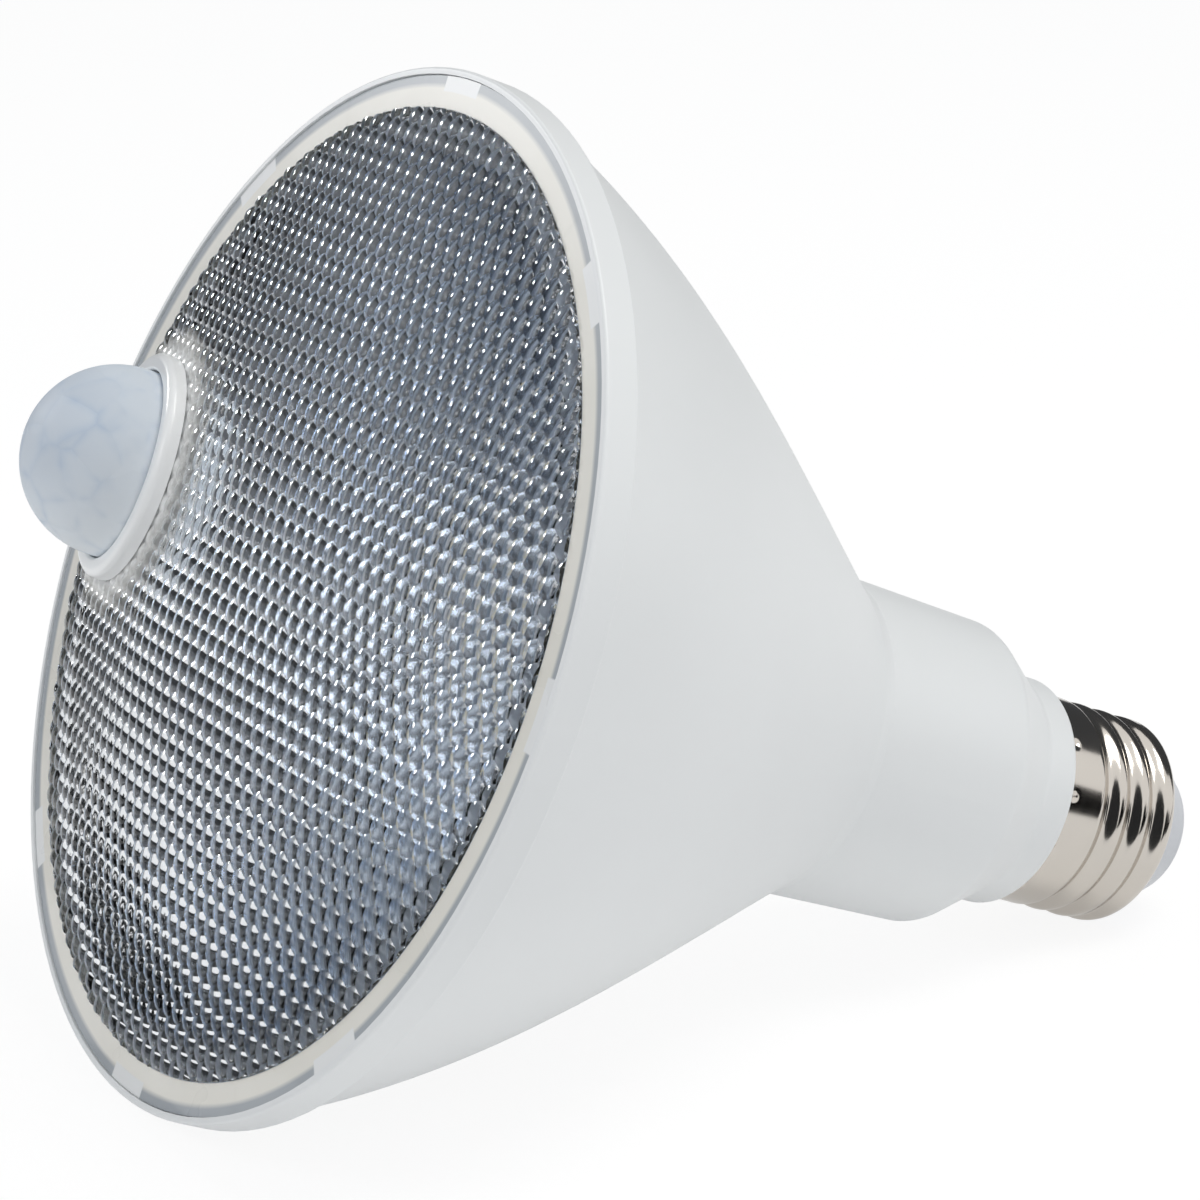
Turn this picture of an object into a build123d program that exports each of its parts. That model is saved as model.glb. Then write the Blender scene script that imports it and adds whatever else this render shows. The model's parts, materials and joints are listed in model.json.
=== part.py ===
from build123d import *
from math import asin, atan2, cos, degrees, hypot, radians, sin, sqrt
import os

os.makedirs("parts", exist_ok=True)

# All sizes in millimetres. The lamp stands on its axis here: z = 0 is the seat of the screw cap,
# z grows toward the lens, and the cap hangs below. The last step lays the lamp on its side.

# Housing: a bell-shaped cone with a rim band, set on a case with a neck, a shoulder and a collar
rim_radius = 60.325  # 38 eighths of an inch across, the size the lamp is sold by
rim_band = 4.2
rim_step = 1.2  # the band stands this far out from the cone
rim_lip = 0.85  # wall of the band around the lens
rim_rounding = 0.4
cone_height = 65.1
cone_angle_at_neck = 35.4  # degrees from the axis
cone_angle_at_rim = 19.2
cone_pull_at_neck = 30.0  # how far each end of the cone keeps its own direction
cone_pull_at_rim = 24.0
neck_height = 22.0
neck_radius_top = 19.75
neck_radius_low = 19.05
neck_rounding = 3.0
shoulder_height = 7.4
shoulder_rounding = 1.6
collar_radius = 14.35
collar_height = 4.5
collar_rounding = 0.7
wall = 1.8
fit = 0.1  # clearance between pieces that are pushed together
joint_drop = 1.2  # the cone ends this far below the top of the neck
joint_overlap = 3.0  # the case stands this far up inside the cone

# Screw cap: medium size, seven threads to the inch
thread_pitch = 25.4 / 7
thread_crest_radius = 13.17
thread_root_radius = 12.42
thread_rounding = 1.19
thread_end = 0.2  # between the ends of the ridge and what lies above and below it
cap_bore_radius = 11.9
cap_skirt_radius = 13.1
cap_skirt_length = 6.6
cap_length = 17.6
stake_count = 10
stake_rounding = 1.2
stake_depth = 0.4
stake_level = 1.0  # below the seat of the cap

# Insulator and contact at the end of the cap
sleeve_wall = 1.5
sleeve_overlap = 2.5  # the sleeve stands this far up inside the collar
insulator_cone = 5.0
insulator_floor = 3.0
insulator_end_radius = 8.3
insulator_end = 2.3
contact_radius = 4.7
contact_height = 1.8
contact_rounding = 1.3
contact_stem = 2.0
contact_stem_radius = 0.9

# Lens: a clear bulging cap with a flat flange and a skirt that stands in the rim
flange_width = 2.875
lens_rise = 6.54
lens_thickness = 2.2
flange_drop = 0.3
flange_thickness = 1.6
skirt_thickness = 0.9
ledge_depth = 3.1  # from the front edge of the rim
ledge_width = 4.475
seal_width = 2.025
catch_count = 8
catch_width = 8.0
catch_height = 1.1
catch_bearing = 46.0

# Motion sensor: a pod through the lens, square to its surface
sensor_margin = 0.4  # between the pod's collar and the edge of the lens
sensor_bearing = 174.8
pod_radius = 12.9
pod_bore = 11.75
pod_depth = 15.0
pod_floor = 1.2
pod_wall = 1.4
pod_collar_radius = 14.0
pod_collar_height = 1.75
pod_collar_rounding = 0.95
pod_mouth_rounding = 0.4
dome_radius = 11.55
dome_wall = 0.7
dome_centre = 2.37  # above the lens
dome_seat = 2.6  # below the lens
sensor_board_depth = 5.0
sensor_board_thickness = 1.0
sensor_board_radius = 10.7
sensor_shelf_radius = 9.9
sensor_shelf_height = 1.2
can_radius = 4.6
can_height = 4.3
can_flange = 0.4
can_flange_height = 0.5
can_wall = 0.3
can_window = (4.0, 3.0, 0.3)
window_overlap = 1.0
light_cell_radius = 1.6
light_cell_height = 2.0
light_cell_offset = 7.2
sensor_chip_size = (5.0, 4.0, 1.5)

# Light engine: heat sink, LED board and reflector
sink_rise = 13.4  # underside of the heat sink above the top of the neck
sink_floor = 2.2
sink_wall = 1.3
sink_height = 14.0
led_board_radius = 23.2
led_board_thickness = 1.6
inner_led_count = 6
inner_led_circle = 9.2
outer_led_count = 12
outer_led_circle = 14.6
led_size = (3.0, 3.0, 0.7)
reflector_throat = 21.5
reflector_rim = 3.5  # from its mouth out to the edge of the ledge
reflector_wall = 1.3
reflector_flange = 1.1
screw_count = 3
screw_circle = 19.3
screw_head_radius = 2.1
screw_head_height = 1.5
screw_radius = 1.25
screw_length = 5.0

# Driver: an upright board in the neck with most of its parts on the +x face
board_thickness = 1.6
board_face = -3.4  # from the lamp's axis
board_height = 32.0
board_margin = 1.0  # between the board's corners and the wall of the neck
rib_reach = 1.15  # overlap of the ribs with the board's edge
rib_width = 1.2
rib_height = 19.0
core_size = (12.0, 13.0, 14.0)
core_leg = 3.0
core_yoke = 2.6
coil_depth = 3.0  # of the winding above and below the middle leg
transformer_at = (4.0, 22.0)  # along the board's width, and up from its foot
input_capacitor_size = (4.0, 12.0)
input_capacitor_at = (9.5, 9.2)
output_capacitor_size = (4.0, 13.0)
output_capacitor_at = (-9.5, 24.2)
groove_level = 1.6
groove_rounding = 0.6
capacitor_rounding = 0.6
choke_size = (4.0, 9.0)
choke_at = (-9.5, 12.6)
choke_flange = 1.2
choke_waist = 3.2
rectifier_size = (2.5, 6.5, 5.0)
rectifier_at = (0.0, 10.8)
fuse_size = (1.5, 8.0)
fuse_at = (0.0, 5.8)
chip_size = (1.6, 5.0, 4.0)
chip_at = (0.0, 16.0)
pin_size = 0.7
pin_spacing = 3.0
pin_overlap = 2.2  # length of the pins that lies on the board
pin_end = 1.0  # above the LED board
pin_hole_radius = 2.6

# Leads
lead_radius = 0.6
lead_bend = 2.0
lead_stand = 2.0  # how far a lead stands off the board before it turns down
live_at = (-6.0, 4.0)
neutral_at = (7.0, 3.2)
neutral_drop = 10.0  # below the seat of the cap
cable_radius = 0.7
cable_offset = 9.2  # from the middle of the pod
cable_gap = 1.1  # between the cable and the LED board
cable_drop = 7.7  # first straight run, out of the pod
cable_run = 5.0  # last straight run, into the driver board
cable_landing = 3.6  # below the top of the driver board

# Levels and places that follow from the sizes above
shoulder_top = collar_height + shoulder_height
neck_top = shoulder_top + neck_height
joint_level = neck_top - joint_drop
joint_radius = neck_radius_top - (neck_radius_top - neck_radius_low) * joint_drop / neck_height
lap_radius = joint_radius - wall / 2
band_back = neck_top + cone_height
rim_front = band_back + rim_band
ledge_level = rim_front - ledge_depth
pocket_radius = rim_radius - rim_lip
cone_end_radius = rim_radius - rim_step
flange_front = rim_front - flange_drop
flange_back = flange_front - flange_thickness
skirt_radius = pocket_radius - fit
skirt_bore = skirt_radius - skirt_thickness
ledge_radius = pocket_radius - ledge_width
seal_radius = skirt_bore - fit - seal_width
lens_radius = skirt_radius - flange_width
lens_top = rim_front + lens_rise
lens_ball = (lens_radius**2 + lens_rise**2) / (2 * lens_rise)  # radius of the lens surface
lens_centre = lens_top - lens_ball
sleeve_radius = cap_bore_radius - fit
sink_level = neck_top + sink_rise
sink_top = sink_level + sink_height
led_board_level = sink_level + sink_floor
led_level = led_board_level + led_board_thickness
board_foot = shoulder_top
board_top = board_foot + board_height
board_back = board_face - board_thickness
board_half_width = sqrt((joint_radius - wall - board_margin) ** 2 - board_back**2)
reflector_top = ledge_level + reflector_flange
reflector_mouth = ledge_radius - reflector_rim
reflector_spread = (reflector_mouth**2 - reflector_throat**2) / (reflector_top - led_level)
contact_level = -cap_length - insulator_cone - insulator_end
contact_end = contact_level - contact_height
cable_hole_radius = led_board_radius + cable_radius + cable_gap
sensor_offset = lens_radius - pod_collar_radius - sensor_margin  # from the lamp's axis
sensor_lean = degrees(asin(sensor_offset / lens_ball))
sensor_place = (
    Pos(0, 0, lens_centre) * Rot(Z=sensor_bearing) * Rot(Y=sensor_lean) * Pos(0, 0, lens_ball)
)
low_end = (Align.CENTER, Align.CENTER, Align.MIN)


def turned(*lines):
    """A solid turned about the z axis; its outline is given as radius and height."""
    return revolve(Plane.XZ * make_face(lines), Axis.Z)


def turned_points(*points):
    return turned(Polyline(*points, close=True))


def drum(radius, low, high):
    """A cylinder on the z axis between two heights."""
    return Pos(0, 0, low) * Cylinder(radius, high - low, align=low_end)


def tube(outer, inner, low, high):
    return drum(outer, low, high) - drum(inner, low, high)


def ring_edge(solid, radius, level):
    """The round edge of a solid nearest to this radius and height."""

    def miss(edge):
        return abs(edge.radius - radius) + abs(edge.arc_center.Z - level)

    return min(solid.edges().filter_by(GeomType.CIRCLE), key=miss)


def lead(radius, bend, *points):
    """A wire along straight runs joined by arcs."""
    path = FilletPolyline(*points, radius=bend)
    return sweep(Plane(path @ 0, z_dir=path % 0) * Circle(radius), path)


def bell(inset):
    """All that lies within the bell's outer skin, with the skin moved in toward the axis."""
    neck_end = Vector(neck_radius_top - inset, neck_top)
    cone_end = Vector(cone_end_radius - inset, band_back)
    neck_way = Vector(sin(radians(cone_angle_at_neck)), cos(radians(cone_angle_at_neck)))
    rim_way = Vector(sin(radians(cone_angle_at_rim)), cos(radians(cone_angle_at_rim)))
    side = Polyline(
        (0, band_back),
        (0, 0),
        (collar_radius - inset, 0),
        (collar_radius - inset, collar_height),
        (neck_radius_low - inset, shoulder_top),
        neck_end,
    )
    cone = Bezier(
        neck_end,
        neck_end + neck_way * cone_pull_at_neck,
        cone_end - rim_way * cone_pull_at_rim,
        cone_end,
    )
    return turned(side, cone, Line(cone_end, (0, band_back)))


def catches(play):
    """Bars on the ledge, against the wall of the rim, that hold the lens."""
    depth = skirt_thickness + fit + play
    size = (depth + rim_lip / 2, catch_width + 2 * play, catch_height + play)
    bar = Box(*size, align=(Align.MIN, Align.CENTER, Align.MIN))
    bar = Pos(pocket_radius - depth, 0, ledge_level) * bar
    return [Rot(Z=catch_bearing + 360 / catch_count * turn) * bar for turn in range(catch_count)]


def board_ribs():
    """Upright ribs on the wall of the neck, a pair on each side of the driver board's edge."""
    start = board_half_width - rib_reach
    box = Box(rib_width, neck_radius_top - start, rib_height, align=(Align.CENTER, Align.MIN, Align.MIN))
    ribs = []
    for x in (board_back - fit - rib_width / 2, board_face + fit + rib_width / 2):
        rib = Pos(x, start, shoulder_top) * box
        ribs += [rib, mirror(rib, Plane.XZ)]
    inside = bell(wall / 2)
    return [rib & inside for rib in ribs]


def housing():
    """The cone with its rim band, the ledge and catches for the lens, and a lap over the case."""
    body = bell(0) & drum(rim_radius, joint_level, band_back)
    body = fillet(ring_edge(body, neck_radius_top, neck_top), neck_rounding)
    band = drum(rim_radius, band_back, rim_front)
    body += fillet(band.edges().filter_by(GeomType.CIRCLE), rim_rounding)
    body -= bell(wall) & drum(rim_radius, joint_level, band_back)
    body -= drum(lap_radius + fit, joint_level, joint_level + joint_overlap + fit)
    body -= drum(ledge_radius, band_back, ledge_level)
    body -= drum(pocket_radius, ledge_level, rim_front)
    return body + catches(0)


def driver_case():
    """Neck, shoulder and collar; its upper edge stands inside the cone and its ribs hold the board."""
    body = bell(0) & drum(rim_radius, 0, joint_level)
    for radius, level in ((neck_radius_low, shoulder_top), (collar_radius, collar_height)):
        body = fillet(ring_edge(body, radius, level), shoulder_rounding)
    body = fillet(ring_edge(body, collar_radius, 0), collar_rounding)
    body += drum(lap_radius, joint_level, joint_level + joint_overlap)
    body -= bell(wall) & drum(rim_radius, wall, joint_level)
    body -= drum(joint_radius - wall, joint_level, joint_level + joint_overlap)
    body -= drum(sleeve_radius + fit, 0, wall)
    return body + board_ribs()


def thread_ridge(coil_radius):
    """Rounded ridge that winds from above the cap's rolled end to below its skirt."""
    height = cap_length - cap_skirt_length - 2 * thread_rounding - 2 * thread_end
    path = Helix(thread_pitch, height - 2 * thread_rounding, coil_radius)
    foot = (thread_root_radius + cap_bore_radius) / 2 - coil_radius
    section = Circle(thread_rounding) - Pos(foot - 2 * thread_rounding, 0) * Rectangle(
        4 * thread_rounding, 4 * thread_rounding
    )
    ridge = sweep(Plane(path @ 0, x_dir=(1, 0, 0), z_dir=path % 0) * section, path, is_frenet=True)
    return Pos(0, 0, 3 * thread_rounding + thread_end - cap_length) * ridge


def screw_shell():
    """Plain skirt with stake dents, a rolled thread and a rolled end, around the insulator's sleeve."""
    coil_radius = thread_crest_radius - thread_rounding
    end_level = thread_rounding - cap_length
    root_rise = sqrt(thread_rounding**2 - (thread_root_radius - coil_radius) ** 2)
    bore_drop = sqrt(thread_rounding**2 - (cap_bore_radius - coil_radius) ** 2)
    rolled_end = ThreePointArc(
        (cap_bore_radius, end_level - bore_drop),
        (thread_crest_radius, end_level),
        (thread_root_radius, end_level + root_rise),
    )
    side = Polyline(
        (thread_root_radius, end_level + root_rise),
        (thread_root_radius, -cap_skirt_length),
        (cap_skirt_radius, thread_root_radius - cap_skirt_radius - cap_skirt_length + thread_rounding),
        (cap_skirt_radius, 0),
        (cap_bore_radius, 0),
        (cap_bore_radius, end_level - bore_drop),
    )
    body = turned(rolled_end, side)
    stake = Pos(cap_skirt_radius + stake_rounding - stake_depth, 0, -stake_level) * Sphere(stake_rounding)
    body -= [Rot(Z=360 / stake_count * turn) * stake for turn in range(stake_count)]
    return body + thread_ridge(coil_radius)


def base_insulator():
    """Sleeve inside the cap, up into the collar, with a cone outside that carries the contact."""
    cone_level = -cap_length - insulator_cone
    stem_hole = contact_stem_radius + fit
    side = Polyline(
        (contact_radius + fit, contact_level),
        (stem_hole, contact_level),
        (stem_hole, insulator_floor - cap_length),
        (sleeve_radius - sleeve_wall, insulator_floor - cap_length),
        (sleeve_radius - sleeve_wall, sleeve_overlap),
        (sleeve_radius, sleeve_overlap),
        (sleeve_radius, -cap_length),
        (cap_bore_radius, -cap_length),
        (insulator_end_radius, cone_level),
    )
    end_width = insulator_end_radius - contact_radius
    end = ThreePointArc(
        (insulator_end_radius, cone_level),
        (insulator_end_radius - 0.36 * end_width, cone_level - 0.64 * insulator_end),
        (contact_radius + fit, contact_level),
    )
    lead_hole = Rot(X=90) * Cylinder(lead_radius + fit, 4 * sleeve_wall)
    return turned(side, end) - Pos(board_face + lead_stand, sleeve_radius, -neutral_drop) * lead_hole


def centre_contact():
    """Flat button with a rounded edge and a stem up into the insulator."""
    body = drum(contact_radius, contact_end, contact_level)
    body = fillet(ring_edge(body, contact_radius, contact_end), contact_rounding)
    return body + drum(contact_stem_radius, contact_level, contact_level + contact_stem)


def lens_arc(ball, start, end):
    """An arc of a ball about the lens's own centre, between two points of an outline."""
    half = (asin(start[0] / ball) + asin(end[0] / ball)) / 2
    return ThreePointArc(start, (ball * sin(half), lens_centre + ball * cos(half)), end)


def lens():
    inner_ball = lens_ball - lens_thickness
    cap_edge = (lens_radius, rim_front)
    inner_edge = (sqrt(inner_ball**2 - (flange_back - lens_centre) ** 2), flange_back)
    inner_top = (0, lens_centre + inner_ball)
    flange = Polyline(
        cap_edge,
        (lens_radius, flange_front),
        (skirt_radius, flange_front),
        (skirt_radius, ledge_level + fit),
        (skirt_bore, ledge_level + fit),
        (skirt_bore, flange_back),
        inner_edge,
    )
    axis = Line(inner_top, (0, lens_top))
    body = turned(
        lens_arc(lens_ball, (0, lens_top), cap_edge),
        flange,
        lens_arc(inner_ball, inner_edge, inner_top),
        axis,
    )
    body -= catches(fit)
    return body - sensor_place * drum(pod_radius + fit, -pod_depth, pod_depth)


def lens_seal():
    return tube(skirt_bore - fit, seal_radius, ledge_level, flange_back)


def reflector_radius(level):
    """Inside radius of the reflector's parabola at a height."""
    return sqrt(reflector_throat**2 + reflector_spread * (level - led_level))


def reflector():
    """Bright parabola from the LED board to a flange on the ledge, cut away around the pod."""
    share = reflector_throat / (reflector_throat + reflector_mouth)
    bend_height = (reflector_top - led_level) * share
    throat = Vector(reflector_throat, led_level)
    bend_out = bend_height * reflector_spread / (2 * reflector_throat)
    bend = Vector(reflector_throat + bend_out, led_level + bend_height)
    mouth = Vector(reflector_mouth, reflector_top)
    skin = Vector(reflector_wall, 0)
    inside = Bezier(throat, bend, mouth)
    outside = Bezier(mouth + skin, bend + skin, throat + skin)
    body = turned(inside, Line(mouth, mouth + skin), outside, Line(throat + skin, throat))
    body += tube(seal_radius - fit, reflector_mouth + reflector_wall / 2, ledge_level, reflector_top)
    return body - sensor_place * drum(pod_radius + fit, -pod_depth - fit, pod_depth)


def sensor_skin(radius, lift):
    """A point of the lens surface, seen along the sensor's axis and raised by a clearance."""
    return radius, sqrt((lens_ball + lift) ** 2 - radius**2) - lens_ball


def sensor_pod():
    """Tube through the lens with a round collar outside and shelves for the dome and the board."""
    lift = fit / 4
    body = turned_points(
        (0, -pod_depth),
        (pod_radius, -pod_depth),
        sensor_skin(pod_radius, lift),
        sensor_skin(pod_collar_radius, lift),
        (pod_collar_radius, pod_collar_height),
        (0, pod_collar_height),
    )
    body = fillet(ring_edge(body, pod_collar_radius, pod_collar_height), pod_collar_rounding)
    body -= drum(pod_bore, -dome_seat, pod_collar_height)
    body = fillet(ring_edge(body, pod_bore, pod_collar_height), pod_mouth_rounding)
    shelf_top = -sensor_board_depth - sensor_board_thickness
    body -= drum(sensor_board_radius + fit, shelf_top, 0)
    body -= drum(sensor_shelf_radius, shelf_top - sensor_shelf_height, 0)
    body -= drum(pod_radius - pod_wall, pod_floor - pod_depth, shelf_top - sensor_shelf_height)
    return body - Pos(cable_offset, 0, -pod_depth) * Cylinder(cable_radius + fit, 4 * pod_floor)


def sensor_dome():
    """Frosted half ball on a short skirt that stands in the pod."""
    body = drum(dome_radius, -dome_seat, dome_centre) + Pos(0, 0, dome_centre) * Sphere(dome_radius)
    inside = dome_radius - dome_wall
    body -= drum(inside, -dome_seat, dome_centre) + Pos(0, 0, dome_centre) * Sphere(inside)
    return body - drum(2 * dome_radius, -4 * dome_radius, -dome_seat)


def sensor_board():
    low = -sensor_board_depth - sensor_board_thickness
    return drum(sensor_board_radius, low, -sensor_board_depth)


def sensor_can():
    """Metal can on a foot flange, with an opening in its top for the window."""
    low = -sensor_board_depth
    body = drum(can_radius, low, low + can_height)
    body += drum(can_radius + can_flange, low, low + can_flange_height)
    body -= drum(can_radius - can_wall, low + can_flange_height, low + can_height - can_wall)
    return body - Pos(0, 0, low + can_height) * Box(can_window[0], can_window[1], 4 * can_wall)


def sensor_window():
    length, width, thickness = can_window
    size = (length + 2 * window_overlap, width + 2 * window_overlap, thickness)
    pane = Box(*size, align=(Align.CENTER, Align.CENTER, Align.MAX))
    return Pos(0, 0, can_height - can_wall - sensor_board_depth) * pane


def light_cell():
    cell = drum(light_cell_radius, -sensor_board_depth, light_cell_height - sensor_board_depth)
    return Pos(0, light_cell_offset, 0) * cell


def sensor_chip():
    low = -sensor_board_depth - sensor_board_thickness
    return Pos(0, 0, low) * Box(*sensor_chip_size, align=(Align.CENTER, Align.CENTER, Align.MAX))


def sensor_cable():
    """Cable from the floor of the pod, behind the reflector and through the heat sink, to the driver."""
    turn = radians(sensor_bearing)
    start = sensor_place * Pos(cable_offset, 0, -pod_depth)
    points = [start.position, (start * Pos(0, 0, -cable_drop)).position]
    behind = reflector_radius(sink_top) + reflector_wall + cable_gap + cable_radius
    for radius, height in (
        (behind, sink_top),
        (cable_hole_radius, led_level + cable_gap),
        (cable_hole_radius, sink_level - cable_radius),
    ):
        points.append((radius * cos(turn), radius * sin(turn), height))
    for x in (board_back - cable_run, board_back):
        points.append((x, cable_hole_radius * sin(turn), board_top - cable_landing))
    return lead(cable_radius, lead_bend, *points)


def plate_holes():
    """Openings through the LED board and the heat sink for screws, pins and the sensor cable."""
    depth = 4 * (sink_floor + led_board_thickness)
    holes = [Pos(board_face + pin_size / 2, 0, led_board_level) * Cylinder(pin_hole_radius, depth)]
    cable_hole = Pos(cable_hole_radius, 0, led_board_level) * Cylinder(cable_radius + 2 * fit, depth)
    holes.append(Rot(Z=sensor_bearing) * cable_hole)
    screw_hole = Pos(screw_circle, 0, led_board_level) * Cylinder(screw_radius + fit, depth)
    holes += [Rot(Z=360 / screw_count * turn) * screw_hole for turn in range(screw_count)]
    return holes


def heat_sink():
    """Cup that lines the lower part of the cone, with the LED board on its floor."""
    outside = bell(wall + fit) & drum(rim_radius, sink_level, sink_top)
    inside = bell(wall + fit + sink_wall) & drum(rim_radius, led_board_level, sink_top)
    return outside - inside - plate_holes()


def led_board():
    return drum(led_board_radius, led_board_level, led_level) - plate_holes()


def led_chips():
    chip = Box(*led_size, align=low_end)
    chips = []
    for count, circle in ((inner_led_count, inner_led_circle), (outer_led_count, outer_led_circle)):
        for turn in range(count):
            chips.append(Rot(Z=360 / count * (turn + 0.5)) * Pos(circle, 0, led_level) * chip)
    return Part() + chips


def board_screws():
    screw = drum(screw_head_radius, led_level, led_level + screw_head_height)
    top_edge = ring_edge(screw, screw_head_radius, led_level + screw_head_height)
    screw = fillet(top_edge, screw_head_height / 2)
    screw += drum(screw_radius, led_level - screw_length, led_level)
    screw = Pos(screw_circle, 0, 0) * screw
    return Part() + [Rot(Z=360 / screw_count * turn) * screw for turn in range(screw_count)]


def on_face(at):
    """A place on the driver board's +x face, with z pointing away from the board."""
    return Pos(board_face, at[0], board_foot + at[1]) * Rot(Y=90)


def driver_board():
    size = (board_thickness, 2 * board_half_width, board_height)
    return Pos(board_face, 0, board_foot) * Box(*size, align=(Align.MAX, Align.CENTER, Align.MIN))


def transformer_core():
    """Ferrite frame with a middle leg; the coil fills the space around the leg."""
    tall, wide, long = core_size
    body = Box(long, wide, tall, align=low_end)
    body -= Box(long - 2 * core_yoke, wide - 2 * core_yoke, 3 * tall)
    leg = Box(long, core_leg, tall - 2 * coil_depth, align=low_end)
    return on_face(transformer_at) * (body + Pos(0, 0, coil_depth) * leg)


def transformer_coil():
    """Winding around the middle leg of the core."""
    tall, wide, long = core_size
    body = Box(
        long - 2 * core_yoke - 2 * fit,
        wide - 2 * core_yoke - 2 * fit,
        tall,
        align=low_end,
    )
    hole = Box(long, core_leg + 2 * fit, tall - 2 * coil_depth + 2 * fit, align=low_end)
    return on_face(transformer_at) * (body - Pos(0, 0, coil_depth - fit) * hole)


def capacitor(size, at):
    """Round can with a groove below its top edge."""
    radius, height = size
    body = drum(radius, 0, height)
    body = fillet(body.edges().filter_by(GeomType.CIRCLE).sort_by(Axis.Z)[-1], capacitor_rounding)
    body -= Pos(0, 0, groove_level) * Torus(radius + groove_rounding / 2, groove_rounding)
    return on_face(at) * body


def choke():
    """Bobbin core with a winding between its two flanges."""
    radius, height = choke_size
    body = drum(radius, 0, choke_flange) + drum(radius, height - choke_flange, height)
    return on_face(choke_at) * (body + drum(choke_waist, 0, height))


def bridge_rectifier():
    tall, wide, long = rectifier_size
    body = Box(long, wide, tall, align=low_end)
    return on_face(rectifier_at) * chamfer(body.faces().sort_by(Axis.Z)[-1].edges(), 0.4)


def fuse_resistor():
    radius, length = fuse_size
    body = Rot(X=90) * Cylinder(radius, length)
    body = fillet(body.edges().filter_by(GeomType.CIRCLE), radius / 3)
    return on_face(fuse_at) * Pos(0, 0, radius) * body


def driver_chip():
    box = Box(*chip_size, align=(Align.MAX, Align.CENTER, Align.MIN))
    return Pos(board_back, chip_at[0], board_foot + chip_at[1]) * box


def board_pins():
    """Pair of pins from the driver board up through the heat sink and the LED board."""
    low = board_top - pin_overlap
    pin = Box(pin_size, pin_size, led_level + pin_end - low, align=(Align.MIN, Align.CENTER, Align.MIN))
    return Part() + [Pos(board_face, side * pin_spacing / 2, low) * pin for side in (-1, 1)]


def live_lead():
    width, rise = live_at
    stand = board_face + lead_stand
    return lead(
        lead_radius,
        lead_bend * 0.6,
        (board_face, width, board_foot + rise),
        (stand, width, board_foot + rise),
        (stand, width, collar_height),
        (0, 0, -neutral_drop),
        (0, 0, contact_level + contact_stem),
    )


def neutral_lead():
    width, rise = neutral_at
    stand = board_face + lead_stand
    touch = sqrt((cap_bore_radius - fit) ** 2 - (abs(stand) + lead_radius) ** 2)
    return lead(
        lead_radius,
        lead_bend * 0.6,
        (board_face, width, board_foot + rise),
        (stand, width, board_foot + rise),
        (stand, width, -neutral_drop),
        (stand, touch, -neutral_drop),
    )


def lay_down(solid):
    """From the standing lamp to the lamp at rest on its rim and the rolled end of its cap."""
    rim_spot = (rim_radius - rim_rounding, band_back + rim_rounding)
    end_spot = (thread_crest_radius - thread_rounding, thread_rounding - cap_length)
    drop, run = rim_spot[0] - end_spot[0], rim_spot[1] - end_spot[1]
    lean = degrees(atan2(drop, run) - asin((thread_rounding - rim_rounding) / hypot(drop, run)))
    return Rot(X=90 - lean) * solid


pieces = {
    "housing": housing(),
    "driver_case": driver_case(),
    "screw_shell": screw_shell(),
    "base_insulator": base_insulator(),
    "centre_contact": centre_contact(),
    "lens": lens(),
    "lens_seal": lens_seal(),
    "reflector": reflector(),
    "sensor_pod": sensor_place * sensor_pod(),
    "sensor_dome": sensor_place * sensor_dome(),
    "sensor_board": sensor_place * sensor_board(),
    "sensor_can": sensor_place * sensor_can(),
    "sensor_window": sensor_place * sensor_window(),
    "light_cell": sensor_place * light_cell(),
    "sensor_chip": sensor_place * sensor_chip(),
    "sensor_cable": sensor_cable(),
    "heat_sink": heat_sink(),
    "led_board": led_board(),
    "led_chips": led_chips(),
    "board_screws": board_screws(),
    "driver_board": driver_board(),
    "transformer_core": transformer_core(),
    "transformer_coil": transformer_coil(),
    "input_capacitor": capacitor(input_capacitor_size, input_capacitor_at),
    "output_capacitor": capacitor(output_capacitor_size, output_capacitor_at),
    "choke": choke(),
    "bridge_rectifier": bridge_rectifier(),
    "fuse_resistor": fuse_resistor(),
    "driver_chip": driver_chip(),
    "board_pins": board_pins(),
    "live_lead": live_lead(),
    "neutral_lead": neutral_lead(),
}

laid = {name: lay_down(piece) for name, piece in pieces.items()}
boxes = [piece.bounding_box() for piece in laid.values()]
middle_x = (min(box.min.X for box in boxes) + max(box.max.X for box in boxes)) / 2
middle_y = (min(box.min.Y for box in boxes) + max(box.max.Y for box in boxes)) / 2
floor = min(box.min.Z for box in boxes)
for name, piece in laid.items():
    export_step(Pos(-middle_x, -middle_y, -floor) * piece, f"parts/{name}.step")
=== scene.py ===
import bpy
import json
import numpy as np
from math import asin, cos, pi, radians, sin, sqrt
from mathutils import Matrix, Vector


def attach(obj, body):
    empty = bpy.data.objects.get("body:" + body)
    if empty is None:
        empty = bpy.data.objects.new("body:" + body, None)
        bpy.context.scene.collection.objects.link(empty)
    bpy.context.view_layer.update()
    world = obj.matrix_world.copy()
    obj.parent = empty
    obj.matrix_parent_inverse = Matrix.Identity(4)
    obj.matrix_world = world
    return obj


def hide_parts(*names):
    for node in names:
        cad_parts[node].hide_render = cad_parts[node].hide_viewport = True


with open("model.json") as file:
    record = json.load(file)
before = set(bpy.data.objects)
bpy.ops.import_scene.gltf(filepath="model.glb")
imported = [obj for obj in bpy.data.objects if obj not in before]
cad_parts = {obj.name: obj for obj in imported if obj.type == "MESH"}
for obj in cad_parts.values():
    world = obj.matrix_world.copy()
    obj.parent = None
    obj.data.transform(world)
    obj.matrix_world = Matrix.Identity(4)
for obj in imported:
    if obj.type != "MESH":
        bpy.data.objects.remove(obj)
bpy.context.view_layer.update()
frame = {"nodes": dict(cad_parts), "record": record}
mm = 0.001

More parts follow.
